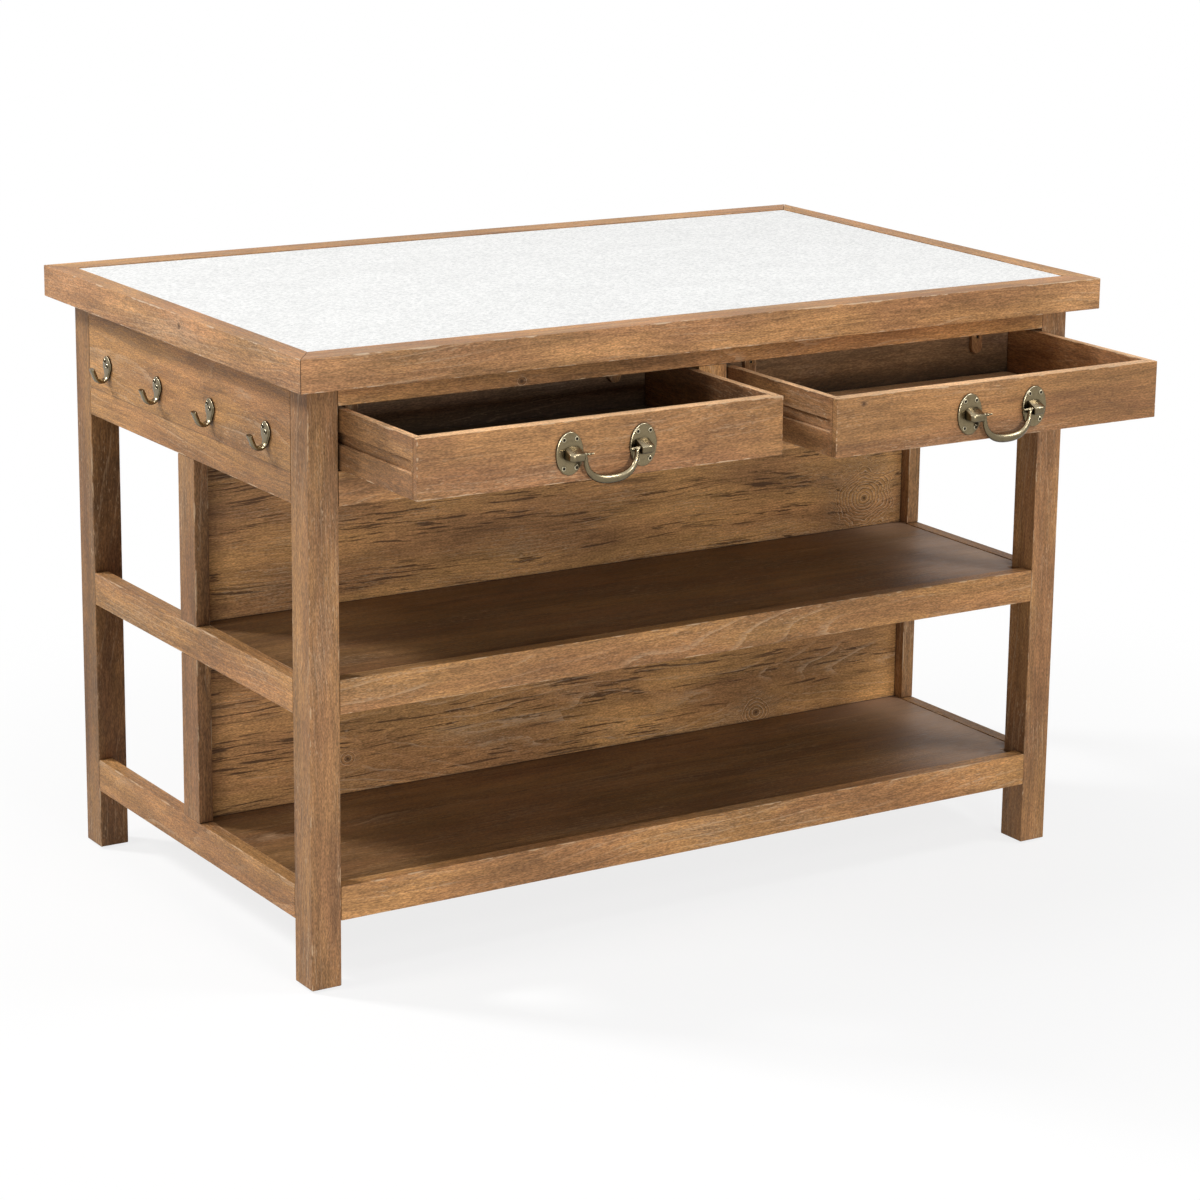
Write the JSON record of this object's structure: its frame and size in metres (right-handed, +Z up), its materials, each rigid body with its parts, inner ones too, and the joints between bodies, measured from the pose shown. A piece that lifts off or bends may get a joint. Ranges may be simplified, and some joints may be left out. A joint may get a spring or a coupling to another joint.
{
  "type": "kitchen island",
  "caption": "Free-standing wooden kitchen island with an inlaid stone worktop, sliding drawers with drop handles, open shelves, side hooks and a knee space behind.",
  "frame": {"origin": "on the floor, under the middle of the island's box with its drawers part open as at rest, which is 126 mm in front of the middle of the frame", "axes": "+X to the right along the island's length as seen from the drawer side, +Y from the drawer side to the knee space behind, +Z up"},
  "size_m": [1.378, 1.1044, 0.917],
  "materials": {
    "stained_wood": "brown stained solid wood with open grain, satin",
    "drawer_wood": "brown stained solid wood with open grain, satin",
    "white_stone": null,
    "antique_brass": "antique brass, dark in the recesses, rubbed bright on the edges",
    "dark_plastic": "black furniture glides, matt"
  },
  "bodies": {
    "island": {"top_border_front": "stained_wood", "top_border_back": "stained_wood", "top_border_left": "stained_wood", "top_border_right": "stained_wood", "stone_top": "white_stone", "leg_front_left": "stained_wood", "leg_front_right": "stained_wood", "leg_back_left": "stained_wood", "leg_back_right": "stained_wood", "glide_front_left": "dark_plastic", "glide_front_right": "dark_plastic", "glide_back_left": "dark_plastic", "glide_back_right": "dark_plastic", "apron_left": "stained_wood", "apron_right": "stained_wood", "back_apron": "stained_wood", "mid_rail_left": "stained_wood", "mid_rail_right": "stained_wood", "low_rail_left": "stained_wood", "low_rail_right": "stained_wood", "upper_post_left": "stained_wood", "upper_post_right": "stained_wood", "lower_post_left": "stained_wood", "lower_post_right": "stained_wood", "front_top_rail": "stained_wood", "front_low_rail": "stained_wood", "drawer_stile": "stained_wood", "mid_shelf_rail": "stained_wood", "low_shelf_rail": "stained_wood", "mid_shelf": "stained_wood", "low_shelf": "stained_wood", "upper_panel": "stained_wood", "lower_panel": "stained_wood", "drawer_runner_left": "stained_wood", "drawer_runner_right": "stained_wood", "drawer_carrier": "stained_wood", "hook_1": "antique_brass", "hook_2": "antique_brass", "hook_3": "antique_brass", "hook_4": "antique_brass"},
    "left_drawer": {"left_drawer_front": "drawer_wood", "left_drawer_side_left": "drawer_wood", "left_drawer_side_right": "drawer_wood", "left_drawer_back": "drawer_wood", "left_drawer_bottom": "drawer_wood", "left_drawer_handle_plate_left": "antique_brass", "left_drawer_handle_plate_right": "antique_brass"},
    "right_drawer": {"right_drawer_front": "drawer_wood", "right_drawer_side_left": "drawer_wood", "right_drawer_side_right": "drawer_wood", "right_drawer_back": "drawer_wood", "right_drawer_bottom": "drawer_wood", "right_drawer_handle_plate_left": "antique_brass", "right_drawer_handle_plate_right": "antique_brass"},
    "left_bail": {"left_drawer_handle_bail": "antique_brass"},
    "right_bail": {"right_drawer_handle_bail": "antique_brass"},
    "left_drawer_stop_a": {"left_drawer_stop_left": "drawer_wood"},
    "left_drawer_stop_b": {"left_drawer_stop_right": "drawer_wood"},
    "right_drawer_stop_a": {"right_drawer_stop_left": "drawer_wood"},
    "right_drawer_stop_b": {"right_drawer_stop_right": "drawer_wood"}
  },
  "joints": [
    {"name": "left_drawer_slide", "type": "slide", "parent": "island", "child": "left_drawer", "axis": [0, -1, 0], "range_m": [-0.216, 0.0905]},
    {"name": "right_drawer_slide", "type": "slide", "parent": "island", "child": "right_drawer", "axis": [0, -1, 0], "range_m": [-0.2725, 0.034]},
    {"name": "left_bail_swing", "type": "hinge", "parent": "left_drawer", "child": "left_bail", "pos_m": [-0.31775, -0.48865, 0.78925], "axis": [-1, 0, 0], "range_deg": [-8, 165]},
    {"name": "right_bail_swing", "type": "hinge", "parent": "right_drawer", "child": "right_bail", "pos_m": [0.31775, -0.54515, 0.78925], "axis": [-1, 0, 0], "range_deg": [-8, 165]},
    {"name": "left_drawer_stop_a_turn", "type": "hinge", "parent": "left_drawer", "child": "left_drawer_stop_a", "pos_m": [-0.53, -0.13665, 0.823], "axis": [0, 1, 0], "range_deg": [-90, 90]},
    {"name": "left_drawer_stop_b_turn", "type": "hinge", "parent": "left_drawer", "child": "left_drawer_stop_b", "pos_m": [-0.1055, -0.13665, 0.823], "axis": [0, 1, 0], "range_deg": [-50, 130]},
    {"name": "right_drawer_stop_a_turn", "type": "hinge", "parent": "right_drawer", "child": "right_drawer_stop_a", "pos_m": [0.1055, -0.19315, 0.823], "axis": [0, 1, 0], "range_deg": [-90, 90]},
    {"name": "right_drawer_stop_b_turn", "type": "hinge", "parent": "right_drawer", "child": "right_drawer_stop_b", "pos_m": [0.53, -0.19315, 0.823], "axis": [0, 1, 0], "range_deg": [-90, 90]}
  ]
}
